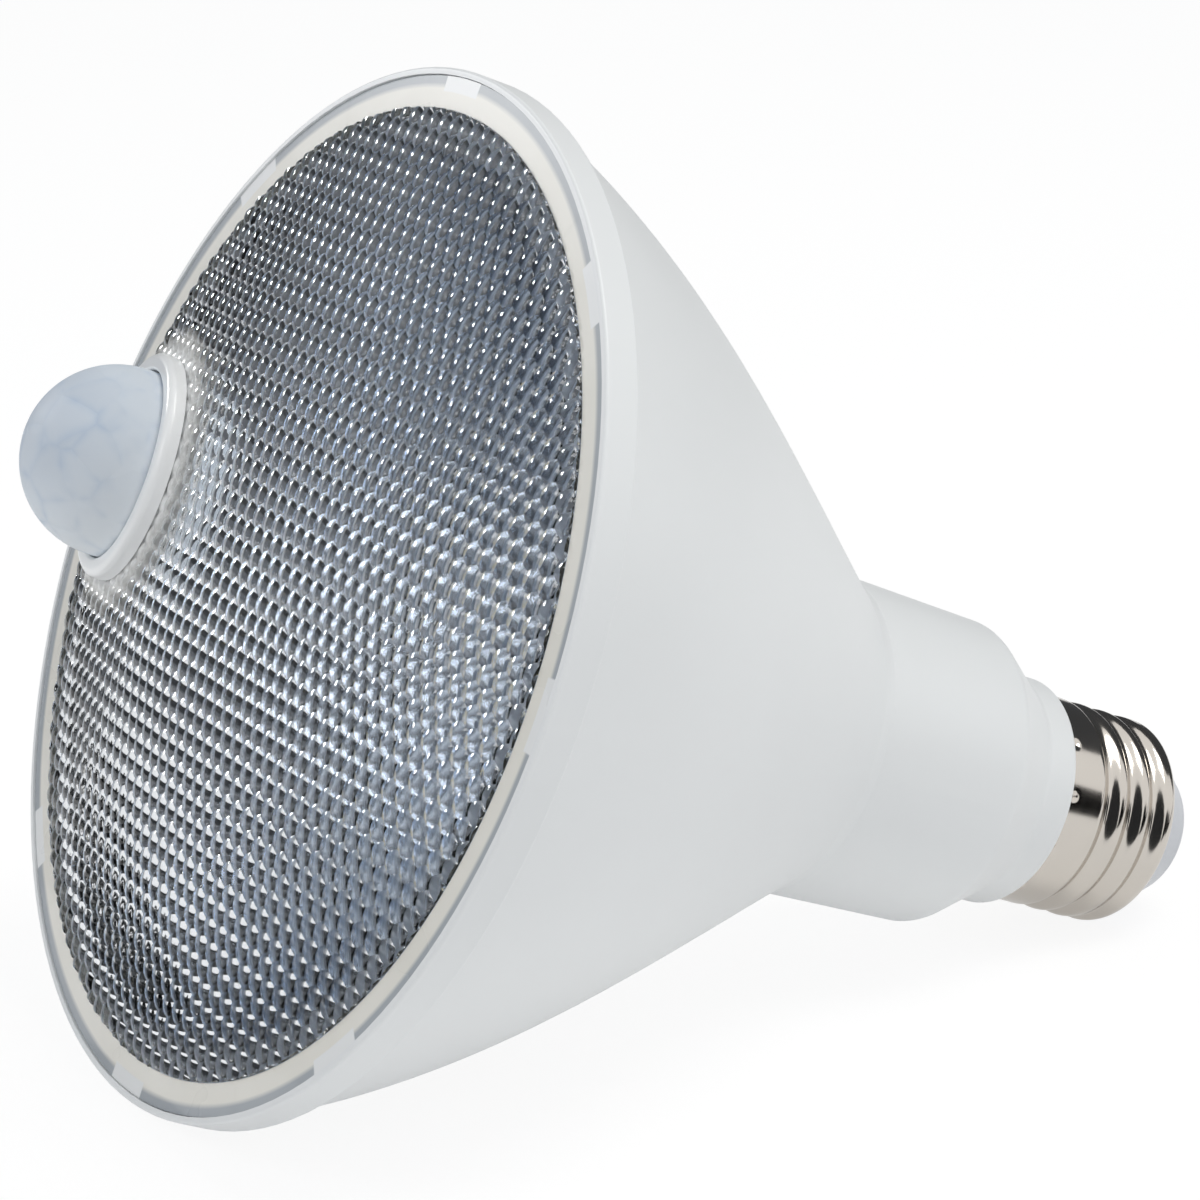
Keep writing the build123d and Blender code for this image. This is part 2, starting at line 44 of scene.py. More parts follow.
# sizes in mm on the lamp's own axis, which runs up to the lens from 0 at the top of the screw cap
lamp = {
    "contactEnd": -26.7,
    "rimFront": 103.2,
    "lensRadius": 56.5,
    "lensRise": 6.54,
    "flangeFront": 102.9,
    "flangeBack": 101.3,
    "sensorOffset": 42.1,
    "sensorBearing": 174.8,
    "sensorHole": 13.0,
}

lensWalls = {
    "edge": 55.6,  # where the pebbles end and the flat flange begins
    "edgeSlack": 0.05,
    "edgeStand": 0.15,  # least height of the last pebbles above the flange
    "thickness": 2.2,
    "lift": 0.08,  # keeps the back of the flange clear of the seal
    "skirtRadius": 59.375,
    "skirtWall": 0.9,
    "skirtFoot": 100.2,
    "rings": 9,
    "holeSteps": 96,
    "holeDepth": 30,
}

catches = {
    "count": 8,
    "bearing": 46.0,
    "radius": 59.2,
    "depth": 1.9,
    "width": 8.2,
    "level": 100.5,
    "height": 1.6,
}


def lampPose():
    # turns and shifts a standing lamp (in metres) to where the frame has it lying
    mount = [m for m in frame["record"]["mounts"] if m["name"] == "contact_face"][0]
    along = -Vector(mount["axis"]).normalized()
    side = Vector((1, 0, 0))
    turn = Matrix((side, along.cross(side), along)).transposed().to_4x4()
    lift = Matrix.Translation((0, 0, -lamp["contactEnd"] * mm))
    return Matrix.Translation(mount["pos_m"]) @ turn @ lift


pose = lampPose()
ball = (lamp["lensRadius"] ** 2 + lamp["lensRise"] ** 2) / (2 * lamp["lensRise"])
ballCentre = lamp["rimFront"] + lamp["lensRise"] - ball


def sensorPose():
    # z runs out along the sensor's axis, with 0 on the lens
    lean = Matrix.Rotation(asin(lamp["sensorOffset"] / ball), 4, "Y")
    bearing = Matrix.Rotation(radians(lamp["sensorBearing"]), 4, "Z")
    shift = Matrix.Translation((0, 0, ballCentre * mm))
    return shift @ bearing @ lean @ Matrix.Translation((0, 0, ball * mm))


# modelling helpers

def toEdit():
    bpy.ops.object.mode_set(mode="EDIT")


def toObject():
    bpy.ops.object.mode_set(mode="OBJECT")


def clearSelection():
    if bpy.context.object and bpy.context.object.mode != "OBJECT":
        toObject()
    bpy.ops.object.select_all(action="DESELECT")


def takeUp(piece):
    clearSelection()
    bpy.context.view_layer.objects.active = piece
    piece.select_set(True)


def points(piece):
    flat = np.empty(len(piece.data.vertices) * 3)
    piece.data.vertices.foreach_get("co", flat)
    return flat.reshape(-1, 3)


def setPoints(piece, places):
    piece.data.vertices.foreach_set("co", np.ascontiguousarray(places).ravel())
    piece.data.update()


def faceCentres(piece):
    flat = np.empty(len(piece.data.polygons) * 3)
    piece.data.polygons.foreach_get("center", flat)
    return flat.reshape(-1, 3)


def fromAxis(places):
    return np.hypot(places[:, 0], places[:, 1])


def pick(piece, kind, mask):
    # leaves the chosen faces or edges selected, in edit mode
    takeUp(piece)
    toEdit()
    bpy.ops.mesh.select_mode(type=kind)
    bpy.ops.mesh.select_all(action="DESELECT")
    toObject()
    choice = piece.data.polygons if kind == "FACE" else piece.data.edges
    choice.foreach_set("select", np.asarray(mask, dtype=bool))
    toEdit()


def deleteFaces(piece, mask):
    pick(piece, "FACE", mask)
    bpy.ops.mesh.delete(type="FACE")
    toObject()


def mergePoints(piece, distance):
    takeUp(piece)
    toEdit()
    bpy.ops.mesh.select_mode(type="VERT")
    bpy.ops.mesh.select_all(action="SELECT")
    bpy.ops.mesh.remove_doubles(threshold=distance * mm)
    toObject()


def openEdges(piece):
    # edges with a face on one side only
    mesh = piece.data
    used = np.zeros(len(mesh.edges), dtype=int)
    loops = np.empty(len(mesh.loops), dtype=int)
    mesh.loops.foreach_get("edge_index", loops)
    np.add.at(used, loops, 1)
    return used == 1


def edgeEnds(piece):
    ends = np.empty(len(piece.data.edges) * 2, dtype=int)
    piece.data.edges.foreach_get("vertices", ends)
    return ends.reshape(-1, 2)


def pickOpenEdges(piece, near):
    # open edges with both ends where the test says
    pick(piece, "EDGE", openEdges(piece) & near(points(piece))[edgeEnds(piece)].all(axis=1))


def outwardFaces(piece):
    takeUp(piece)
    toEdit()
    bpy.ops.mesh.select_all(action="SELECT")
    bpy.ops.mesh.normals_make_consistent(inside=False)
    toObject()


def smooth(piece, angle):
    takeUp(piece)
    bpy.ops.object.shade_smooth_by_angle(angle=radians(angle))


def addArray(piece, count, offset):
    lattice = piece.modifiers.new("rows", "ARRAY")
    lattice.count = count
    lattice.use_relative_offset = False
    lattice.use_constant_offset = True
    lattice.constant_offset_displace = offset
    bpy.ops.object.modifier_apply(modifier=lattice.name)


def extrudeTo(piece, radius, height):
    # the chosen edge is drawn out to a circle about the lamp's axis, and stays chosen
    toEdit()
    bpy.ops.mesh.extrude_edges_move(TRANSFORM_OT_translate={"value": (0, 0, 0)})
    toObject()
    chosen = np.empty(len(piece.data.vertices), dtype=bool)
    piece.data.vertices.foreach_get("select", chosen)
    places = points(piece)
    places[chosen, :2] *= (radius * mm / fromAxis(places[chosen]))[:, None]
    places[chosen, 2] = height * mm
    setPoints(piece, places)


def finishPiece(piece, name, slot, node):
    piece.name = name
    piece.data.name = name
    piece.data.transform(pose)
    piece.data.update()
    piece.data.materials.clear()
    piece.data.materials.append(finishes[slot])
    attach(piece, "root")
    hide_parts(node)
    print(name, "done,", len(piece.data.polygons), "faces")


# shader maths

class Value:
    def __init__(self, surface, socket):
        self.surface = surface
        self.socket = socket

    def math(self, operation, first, second):
        settings = {"operation": operation}
        return self.surface.node("ShaderNodeMath", settings, **{"0": first, "1": second})

    def __add__(self, other):
        return self.math("ADD", self, other)

    def __radd__(self, other):
        return self.math("ADD", other, self)

    def __sub__(self, other):
        return self.math("SUBTRACT", self, other)

    def __mul__(self, other):
        return self.math("MULTIPLY", self, other)

    def __truediv__(self, other):
        return self.math("DIVIDE", self, other)

    def __pow__(self, other):
        return self.math("POWER", self, other)

    def __mod__(self, other):
        return self.math("MODULO", self, other)

    def __abs__(self):
        return self.math("ABSOLUTE", self, 0.0)


class Surface:
    def __init__(self, name, **constants):
        self.material = bpy.data.materials.new(name)
        self.material.use_nodes = True
        self.tree = self.material.node_tree
        self.shader = self.tree.nodes["Principled BSDF"]
        self.fill(self.shader, constants)

    def fill(self, node, inputs):
        for key, value in inputs.items():
            socket = node.inputs[int(key)] if key.isdigit() else node.inputs[key]
            if isinstance(value, Value):
                self.tree.links.new(value.socket, socket)
            else:
                socket.default_value = value

    def node(self, kind, settings=None, out=0, **inputs):
        made = self.tree.nodes.new(kind)
        for key, value in (settings or {}).items():
            setattr(made, key, value)
        self.fill(made, inputs)
        return Value(self, made.outputs[out])

    def place(self):
        return self.node("ShaderNodeTexCoord", out="Object")

    def standing(self, shift):
        # the lamp's own axes, with or without the shift to its own zero
        return self.node("ShaderNodeMapping", {"vector_type": "TEXTURE"}, Vector=self.place(),
                         Location=shift, Rotation=tuple(pose.to_euler()))

    def part(self, axis, spot):
        return self.node("ShaderNodeSeparateXYZ", out=axis, Vector=spot)

    def times(self, spot, factors):
        settings = {"operation": "MULTIPLY"}
        return self.node("ShaderNodeVectorMath", settings, **{"0": spot, "1": factors})

    def reach(self, spot, centre=(0, 0, 0)):
        # distance in mm from the lamp's axis, or from another line along it
        settings = {"operation": "DISTANCE"}
        ends = {"0": self.times(spot, (1, 1, 0)), "1": centre}
        return self.node("ShaderNodeVectorMath", settings, out="Value", **ends) / mm

    def bearing(self, spot):
        across = self.part("X", spot)
        return across.math("ARCTAN2", self.part("Y", spot), across)

    def step(self, value, start, end, low=0.0, high=1.0):
        limits = {"1": start, "2": end, "3": low, "4": high}
        return self.node("ShaderNodeMapRange", **{"0": value}, **limits)

    def noise(self, vector, scale, detail, roughness=0.55):
        return self.node("ShaderNodeTexNoise", out="Fac", Vector=vector, Scale=scale, Detail=detail,
                         Roughness=roughness)

    def blend(self, factor, first, second):
        made = self.tree.nodes.new("ShaderNodeMix")
        made.data_type = "RGBA"
        self.fill(made, {"0": factor, "6": first, "7": second})
        return Value(self, made.outputs[2])

    def bump(self, height, strength, distance):
        return self.node("ShaderNodeBump", out="Normal", Height=height, Strength=strength,
                         Distance=distance * mm)

    def cover(self, factor, shader):
        # a second shader in place of the first, where the factor is 1
        first = Value(self, self.shader.outputs[0])
        mix = self.node("ShaderNodeMixShader", **{"0": factor, "1": first, "2": shader})
        self.tree.links.new(mix.socket, self.tree.nodes["Material Output"].inputs["Surface"])

    def feed(self, **inputs):
        names = {
            "colour": "Base Color",
            "roughness": "Roughness",
            "normal": "Normal",
            "metallic": "Metallic",
        }
        self.fill(self.shader, {names[key]: value for key, value in inputs.items()})
        return self.material


def grey(colour, share):
    return tuple(part * share for part in colour) + (1.0,)


def mouldedPlastic(name, colour, roughness, spread=0.03, coat=0.0):
    # slight clouding of the colour and a fine moulded skin
    surface = Surface(name, **{"Coat Weight": coat, "Coat Roughness": 0.15, "IOR": 1.5})
    spot = surface.place()
    cloud = surface.noise(spot, scale=38.0, detail=2.0)
    skin = surface.noise(spot, scale=2600.0, detail=2.0)
    return surface.feed(
        colour=surface.blend(cloud, grey(colour, 1 - spread), grey(colour, 1 + spread / 2)),
        roughness=skin * 0.1 + (roughness - 0.05),
        normal=surface.bump(skin, strength=0.12, distance=0.04),
    )


def turnedMetal(name, colour, roughness):
    # polished metal with hair lines around the lamp's axis
    surface = Surface(name)
    spot = surface.standing(shift=(0, 0, 0))
    drawn = surface.times(spot, (60.0, 60.0, 2400.0))
    lines = surface.noise(drawn, scale=1.0, detail=3.0, roughness=0.6)
    smear = surface.noise(spot, scale=130.0, detail=3.0)
    return surface.feed(
        colour=surface.blend(smear, grey(colour, 0.93), grey(colour, 1.03)),
        roughness=roughness + smear * 0.08 + lines * 0.05,
        normal=surface.bump(lines, strength=0.03, distance=0.02),
        metallic=1.0,
    )


flangeLook = {
    "starts": (0.05, 0.1),  # beyond the pebbles
    "faces": (-0.3, -0.2),  # below the front of the flange
    "sealToPaintedShade": (57.9, 58.5),
    "barStarts": (57.5, 57.7),
    "barFade": 0.2,
    "glowEnds": (16.0, 20.0),  # from the sensor's axis
    "glowBlots": 4.0,
    "glowShare": 0.85,
}


def catchBars(surface, spot, reach):
    # 1 where a catch of the housing lies behind the edge of the flange
    gap = 2 * pi / catches["count"]
    bearing = surface.bearing(spot) - (radians(catches["bearing"]) - gap / 2 - 2 * pi)
    away = abs(bearing % gap - gap / 2) * catches["radius"]
    end = catches["width"] / 2
    bar = surface.step(away, end - flangeLook["barFade"], end, low=1.0, high=0.0)
    return bar * surface.step(reach, *flangeLook["barStarts"])


def paintedGlowNearCollar(surface, spot):
    # painted glow: a white patch with blotchy edges painted on the lens around the sensor's collar,
    # fading out away from it
    sensor = sensorPose().translation
    blots = surface.noise(spot, scale=700.0, detail=3.0)
    away = surface.reach(spot, (sensor.x, sensor.y, 0)) + blots * flangeLook["glowBlots"]
    return surface.step(away, *flangeLook["glowEnds"], low=flangeLook["glowShare"], high=0.0)


def clearPlastic(name):
    # clear pebbles; the flange shows the ivory seal behind it, is painted grey at its edge as
    # painted shade of the shadowed gap behind it, and has a painted white glow around the sensor's
    # collar
    surface = Surface(name, **{
        "Transmission Weight": 1.0,
        "IOR": 1.49,
        "Base Color": (0.96, 0.98, 1.0, 1),
    })
    spot = surface.standing(shift=pose.translation)
    haze = surface.noise(spot, scale=90.0, detail=2.0)
    reach = surface.reach(spot)
    flange = surface.step(reach, *(lensWalls["edge"] + off for off in flangeLook["starts"]))
    levels = ((lamp["flangeFront"] + off) * mm for off in flangeLook["faces"])
    front = surface.step(surface.part("Z", spot), *levels)
    ivory = surface.blend(haze, (0.78, 0.76, 0.69, 1), (0.88, 0.86, 0.80, 1))
    # painted shade: beyond the seal the flange is painted grey, for the shadowed gap behind its
    # edge
    edge = surface.step(reach, *flangeLook["sealToPaintedShade"])
    flat = surface.blend(edge, ivory, (0.40, 0.43, 0.46, 1))
    flat = surface.blend(catchBars(surface, spot, reach), flat, (0.86, 0.87, 0.87, 1))
    # painted glow: an opaque white patch around the sensor's collar
    paintedGlow = paintedGlowNearCollar(surface, spot)
    stuck = surface.node("ShaderNodeBsdfPrincipled", **{
        "Base Color": surface.blend(paintedGlow, flat, (0.88, 0.89, 0.90, 1)),
        "Roughness": 0.2 + haze * 0.2,
        "Coat Weight": 0.5,
    })
    surface.cover(flange * front + paintedGlow, stuck)
    return surface.feed(roughness=0.015 + haze * 0.03)


domeMilk = {
    "cells": 200.0,
    "jitter": 0.7,
    "line": 0.24,
    "up": (-8, 12),  # levels between which the painted shade takes the milk from bright to dull
    "out": (106, 119),
}


def frostedPlastic(name):
    # milky dome with painted shade, brighter low down and beside the collar; the lens facets inside
    # it show as soft cells with faint blue edges
    surface = Surface(name, **{
        "IOR": 1.4,
        "Specular IOR Level": 0.25,
        "Subsurface Weight": 0.2,
        "Subsurface Radius": (0.8, 0.9, 1.0),
        "Subsurface Scale": 0.003,
    })
    spot = surface.standing(shift=pose.translation)
    drift = surface.noise(spot, scale=200.0, detail=2.0)
    cells = {"Vector": spot, "Scale": domeMilk["cells"], "Randomness": domeMilk["jitter"]}
    tone = surface.node("ShaderNodeTexVoronoi", out="Color", **cells)
    rim = surface.node("ShaderNodeTexVoronoi", {"feature": "DISTANCE_TO_EDGE"}, **cells)
    line = surface.step(rim, 0.0, domeMilk["line"], low=1.0, high=0.0) ** 1.8
    line = line * surface.step(drift, 0.38, 0.7)
    # painted shade: the milk is painted brighter low down and beside the collar and duller high up
    # and far out, in place of light that passes through the dome
    up = surface.step(surface.part("Y", spot), *(level * mm for level in domeMilk["up"]))
    out = surface.step(surface.part("Z", spot), *(level * mm for level in domeMilk["out"]))
    milkWithPaintedShade = surface.blend(up * 0.5 + out * 0.6, (0.92, 0.97, 1.0, 1), (0.50, 0.56, 0.64, 1))
    milkWithPaintedShade = surface.blend(tone * 0.25, milkWithPaintedShade, (0.80, 0.86, 0.93, 1))
    return surface.feed(
        colour=surface.blend(line * 0.5, milkWithPaintedShade, (0.36, 0.47, 0.63, 1)),
        roughness=0.5 + drift * 0.12,
        normal=surface.bump(surface.step(rim, 0.0, 0.25), strength=0.3, distance=0.15),
    )


def brightReflector(name, mouth=(51.6, 52.0)):
    # bright metallised skin with a slight orange peel
    surface = Surface(name)
    peel = surface.noise(surface.place(), scale=420.0, detail=2.0)
    # the flat flange outside the mouth is duller
    reach = surface.reach(surface.standing(shift=pose.translation))
    flange = surface.step(reach, *mouth, low=0.0, high=0.3)
    return surface.feed(
        colour=surface.blend(peel, (0.74, 0.81, 0.91, 1), (0.82, 0.88, 0.97, 1)),
        roughness=0.17 + peel * 0.1 + flange,
        normal=surface.bump(peel, strength=0.25, distance=0.2),
        metallic=1.0,
    )


def boardFace(name, base, track, scale):
    # lacquered board with faint tracks under the lacquer
    surface = Surface(name)
    tracks = surface.node("ShaderNodeTexVoronoi", {"feature": "DISTANCE_TO_EDGE"},
                          Vector=surface.place(), Scale=scale)
    edge = surface.step(tracks, 0.05, 0.09, low=1.0, high=0.0)
    return surface.feed(
        colour=surface.blend(edge, grey(base, 1.0), grey(track, 1.0)),
        roughness=0.35 + edge * 0.12,
        normal=surface.bump(edge, strength=0.2, distance=0.05),
    )


finishes = {
    "housing_white": mouldedPlastic("housingWhite", (0.80, 0.815, 0.82), 0.42),
    "cap_nickel": turnedMetal("capNickel", (0.64, 0.60, 0.55), 0.07),
    # painted shade: the insulator's white is set darker and bluer, as if it lay in shadow
    "insulator_white": mouldedPlastic("insulatorWhiteInPaintedShade", (0.52, 0.54, 0.58), 0.3),
    "contact_metal": turnedMetal("contactMetal", (0.78, 0.70, 0.55), 0.22),
    "lens_clear": clearPlastic("lensClear"),
    "seal_ivory": mouldedPlastic("sealIvory", (0.83, 0.81, 0.74), 0.5),
    "reflector_bright": brightReflector("reflectorBright"),
    "pod_white": mouldedPlastic("podWhite", (0.88, 0.89, 0.89), 0.3, coat=0.3),
    "dome_frosted": frostedPlastic("domeFrosted"),
    "circuit_board": boardFace("circuitBoard", (0.03, 0.16, 0.07), (0.07, 0.26, 0.12), 300.0),
    "can_metal": turnedMetal("canMetal", (0.75, 0.74, 0.72), 0.25),
    "window_dark": mouldedPlastic("windowDark", (0.03, 0.025, 0.03), 0.1),
    "cell_red": mouldedPlastic("cellRed", (0.45, 0.06, 0.04), 0.3),
    "chip_black": mouldedPlastic("chipBlack", (0.03, 0.03, 0.032), 0.5),
    "cable_red": mouldedPlastic("cableRed", (0.5, 0.03, 0.03), 0.4),
    "sink_aluminium": turnedMetal("sinkAluminium", (0.72, 0.73, 0.75), 0.35),
    "led_board_white": boardFace("ledBoardWhite", (0.78, 0.79, 0.80), (0.70, 0.71, 0.72), 140.0),
    "led_yellow": mouldedPlastic("ledYellow", (0.80, 0.62, 0.16), 0.35),
    "screw_steel": turnedMetal("screwSteel", (0.62, 0.61, 0.6), 0.28),
    "ferrite": mouldedPlastic("ferrite", (0.07, 0.07, 0.075), 0.55, spread=0.2),
    "coil_tape": mouldedPlastic("coilTape", (0.75, 0.55, 0.08), 0.35),
    "capacitor_sleeve": mouldedPlastic("capacitorSleeve", (0.05, 0.06, 0.09), 0.3),
    "resistor_body": mouldedPlastic("resistorBody", (0.2, 0.42, 0.28), 0.5),
    "lead_black": mouldedPlastic("leadBlack", (0.03, 0.03, 0.03), 0.4),
    "lead_white": mouldedPlastic("leadWhite", (0.75, 0.75, 0.74), 0.4),
}
for part in frame["record"]["subparts"]:
    node = frame["nodes"][part["node"]]
    node.data.materials.clear()
    node.data.materials.append(finishes[part["material_slot"]])
    smooth(node, angle=30)
print("finishes set on", len(frame["nodes"]), "nodes")


# pebbled lens

pebbles = {
    "pitch": 2.50,
    "sag": 0.42,
    "cuts": 2,
    "rows": 27,
    "columns": 47,
    "rimSteps": 180,
    "trim": (-1.0, 1.4),  # faces this far in and out of the rim are cut to it
    "weld": 0.01,
}


def pebbleTile():
    corner = pebbles["pitch"] / sqrt(3)
    curve = (corner ** 2 + pebbles["sag"] ** 2) / (2 * pebbles["sag"])
    clearSelection()
    bpy.ops.mesh.primitive_circle_add(vertices=6, radius=corner * mm, fill_type="TRIFAN",
                                      location=(0, 0, 0))
    tile = bpy.context.object
    toEdit()
    bpy.ops.mesh.subdivide(number_cuts=pebbles["cuts"])
    toObject()
    places = points(tile)
    reach = fromAxis(places) / mm
    places[:, 2] = (np.sqrt(curve ** 2 - reach ** 2) - curve) * mm
    setPoints(tile, places)
    return tile


def pebbleSheet():
    pitch = pebbles["pitch"] * mm
    sheet = pebbleTile()
    takeUp(sheet)
    addArray(sheet, 2, (pitch / 2, pitch * sqrt(3) / 2, 0))
    addArray(sheet, pebbles["columns"], (pitch, 0, 0))
    addArray(sheet, pebbles["rows"], (0, pitch * sqrt(3), 0))
    places = points(sheet)
    places[:, 0] -= pitch * (pebbles["columns"] // 2)
    places[:, 1] -= pitch * sqrt(3) * (pebbles["rows"] // 2)
    setPoints(sheet, places)
    mergePoints(sheet, pebbles["weld"])
    return sheet


def trimSheet(sheet):
    # faces over the rim go to a piece of their own, which is cut straight many times
    limit = lensWalls["edge"] * mm
    inner, outer = (limit + margin * mm for margin in pebbles["trim"])
    deleteFaces(sheet, fromAxis(faceCentres(sheet)) > outer)
    pick(sheet, "FACE", fromAxis(faceCentres(sheet)) > inner)
    bpy.ops.mesh.separate(type="SELECTED")
    toObject()
    edge = [piece for piece in bpy.context.selected_objects if piece is not sheet][0]
    takeUp(edge)
    toEdit()
    for step in range(pebbles["rimSteps"]):
        turn = 2 * pi * step / pebbles["rimSteps"]
        way = Vector((cos(turn), sin(turn), 0))
        bpy.ops.mesh.select_all(action="SELECT")
        bpy.ops.mesh.bisect(plane_co=way * limit, plane_no=way, clear_outer=True)
    toObject()
    takeUp(sheet)
    edge.select_set(True)
    bpy.ops.object.join()
    mergePoints(sheet, pebbles["weld"])
    toEdit()
    bpy.ops.mesh.quads_convert_to_tris()
    toObject()


def dropOnBall(sheet):
    # each point moves out from the lens's own centre, by its height in the sheet
    places = points(sheet) / mm
    rise = np.sqrt(ball ** 2 - (places[:, :2] ** 2).sum(axis=1))
    flat = np.column_stack([places[:, :2], rise]) / ball
    high = flat * (ball + places[:, 2:3])
    high[:, 2] += ballCentre
    least = lamp["flangeFront"] + lensWalls["edgeStand"]
    atEdge = fromAxis(high) > lensWalls["edge"] - lensWalls["edgeSlack"]
    high[atEdge & (high[:, 2] < least), 2] = least
    setPoints(sheet, high * mm)


def closeLens(sheet):
    # down to the flange, out, around the skirt and over the smooth back to its middle
    nearRim = (lensWalls["edge"] + pebbles["trim"][0]) * mm
    pickOpenEdges(sheet, lambda places: fromAxis(places) > nearRim)
    inner = ball - lensWalls["thickness"]
    back = lamp["flangeBack"] + lensWalls["lift"]
    foot = lensWalls["skirtFoot"]
    outside = lensWalls["skirtRadius"]
    inside = outside - lensWalls["skirtWall"]
    edge = sqrt(inner ** 2 - (back - ballCentre) ** 2)
    for radius, height in (
        (lensWalls["edge"], lamp["flangeFront"]),
        (outside, lamp["flangeFront"]),
        (outside, foot),
        (inside, foot),
        (inside, back),
        (edge, back),
    ):
        extrudeTo(sheet, radius, height)
    for step in range(1, lensWalls["rings"]):
        radius = edge * (1 - step / lensWalls["rings"])
        extrudeTo(sheet, radius, ballCentre + sqrt(inner ** 2 - radius ** 2))
    toEdit()
    bpy.ops.mesh.merge(type="CENTER")
    toObject()


def lensCutters():
    # the sensor's hole, and room for the catches in the skirt
    clearSelection()
    bpy.ops.mesh.primitive_cylinder_add(vertices=lensWalls["holeSteps"],
                                        radius=lamp["sensorHole"] * mm,
                                        depth=lensWalls["holeDepth"] * mm)
    cutter = bpy.context.object
    cutter.data.transform(sensorPose())
    size = Matrix.Diagonal([catches[key] * mm for key in ("depth", "width", "height")] + [1])
    shift = Matrix.Translation((catches["radius"] * mm, 0, catches["level"] * mm))
    for step in range(catches["count"]):
        clearSelection()
        bpy.ops.mesh.primitive_cube_add(size=1.0)
        bar = bpy.context.object
        bearing = radians(catches["bearing"] + 360 / catches["count"] * step)
        bar.data.transform(Matrix.Rotation(bearing, 4, "Z") @ shift @ size)
        cutter.select_set(True)
        bpy.context.view_layer.objects.active = cutter
        bpy.ops.object.join()
    return cutter


def cutAway(piece, cutter):
    takeUp(piece)
    cut = piece.modifiers.new("cut", "BOOLEAN")
    cut.operation = "DIFFERENCE"
    cut.solver = "MANIFOLD"
    cut.object = cutter
    bpy.ops.object.modifier_apply(modifier=cut.name)
    bpy.data.objects.remove(cutter)


def pebbledLens():
    lens = pebbleSheet()
    trimSheet(lens)
    dropOnBall(lens)
    closeLens(lens)
    outwardFaces(lens)
    cutAway(lens, lensCutters())
    smooth(lens, angle=36)
    print("open edges left in the lens:", int(openEdges(lens).sum()))
    finishPiece(lens, "lensPebbled", "lens_clear", "lens")


pebbledLens()


# rolled screw cap

capShell = {
    "length": 17.6,
    "radius": 13.1,
    "bore": 11.95,
    "pitch": 3.63,
    "groove": 0.85,
    "firstGroove": 7.1,
    "grooveFront": 5.0,  # bearing at which the first groove is measured
    "grooveRound": 1.3,
    "grooveStart": (-0.4, 0.0),  # turns over which it grows, and over which it dies away
    "grooveEnd": (2.05, 2.4),
    "roll": 1.3,
    "around": 300,
    "along": 240,
    "sideShare": 0.9,  # of the steps along, the rest go around the rolled end
    "dents": 12,
    "dentBearing": 14.0,
    "dentLevel": 1.1,
    "dentReach": 0.45,
    "dentDepth": 0.3,
    "topSlack": 0.1,
    "weld": 0.005,
}


def ease(value, start, end):
    share = np.clip((value - start) / (end - start), 0, 1)
    return share * share * (3 - 2 * share)


def grooveDepth(drop, bearing):
    # a right-handed groove, which is deepest where the turn is a whole number
    lead = (bearing - radians(capShell["grooveFront"])) / (2 * pi)
    turn = (drop - capShell["firstGroove"]) / capShell["pitch"] + lead
    nearest = np.round(turn)
    shape = (0.5 + 0.5 * np.cos(2 * pi * (turn - nearest))) ** capShell["grooveRound"]
    along = nearest - lead
    fade = ease(along, *capShell["grooveStart"]) * (1 - ease(along, *capShell["grooveEnd"]))
    return capShell["groove"] * shape * fade


def dentDepth(drop, bearing):
    spacing = 2 * pi / capShell["dents"]
    off = bearing - radians(capShell["dentBearing"]) + spacing / 2
    off = np.mod(off, spacing) - spacing / 2
    away = (off * capShell["radius"]) ** 2 + (drop - capShell["dentLevel"]) ** 2
    return capShell["dentDepth"] * np.exp(-away / capShell["dentReach"] ** 2)


def rolledCap():
    clearSelection()
    bpy.ops.mesh.primitive_grid_add(x_subdivisions=capShell["around"],
                                    y_subdivisions=capShell["along"], size=1)
    cap = bpy.context.object
    places = points(cap)
    bearing = (places[:, 0] + 0.5) * 2 * pi
    share = 0.5 - places[:, 1]
    turned = capShell["sideShare"]
    drop = np.minimum(share / turned, 1) * (capShell["length"] - capShell["roll"])
    curl = np.clip((share - turned) / (1 - turned), 0, 1) * pi / 2
    depth = grooveDepth(drop, bearing) + dentDepth(drop, bearing)
    wall = capShell["radius"] - depth - capShell["bore"]
    reach = capShell["bore"] + wall * np.cos(curl)
    drop += np.sin(curl) * capShell["roll"]
    sides = [reach * np.cos(bearing), reach * np.sin(bearing), -drop]
    setPoints(cap, np.column_stack(sides) * mm)
    mergePoints(cap, capShell["weld"])
    pickOpenEdges(cap, lambda places: places[:, 2] > -capShell["topSlack"] * mm)
    extrudeTo(cap, capShell["bore"], 0)
    extrudeTo(cap, capShell["bore"], -capShell["length"])
    mergePoints(cap, capShell["weld"])
    outwardFaces(cap)
    smooth(cap, angle=40)
    print("open edges left in the cap:", int(openEdges(cap).sum()))
    finishPiece(cap, "capRolled", "cap_nickel", "screw_shell")


rolledCap()


# floor, light and camera, in metres

room = {
    "ambient": 0.56,
    "ambientTint": (0.975, 1.0, 1.035),
    "floorSize": 4.0,
    "floorGlow": 1.04,
    "floorShadow": 0.15,
    "tableShine": 0.4,
    "tableGlow": 0.22,
    "flagSteps": 64,
    "cardHeight": 0.001,
}
flags = {
    "frontFlag": {"way": (0.6, -0.8, 0.0), "spread": 60, "shade": 0.03},
    "leftFlag": {"way": (-0.78, -0.55, 0.4), "spread": 52, "shade": 0.12},
    "leftBand": {"way": (-0.82, -0.57, 0.0), "spread": 58, "shade": 0.03, "radius": 1.5,
                 "low": -0.1, "high": 0.13},
    "backFlag": {"way": (0.82, 0.57, 0.0), "spread": 17, "shade": 0.004},
    "topFlag": {"way": (-0.45, 0.78, 0.42), "spread": 38, "shade": 0.06},
}
cards = {
    "lensCard": {"corner": (-0.08, -1.5), "reach": (0.2, 1.42), "shade": 0.03},
    "capCard": {"corner": (0.09, 0.1), "reach": (1.3, 1.0), "shade": 0.004},
}
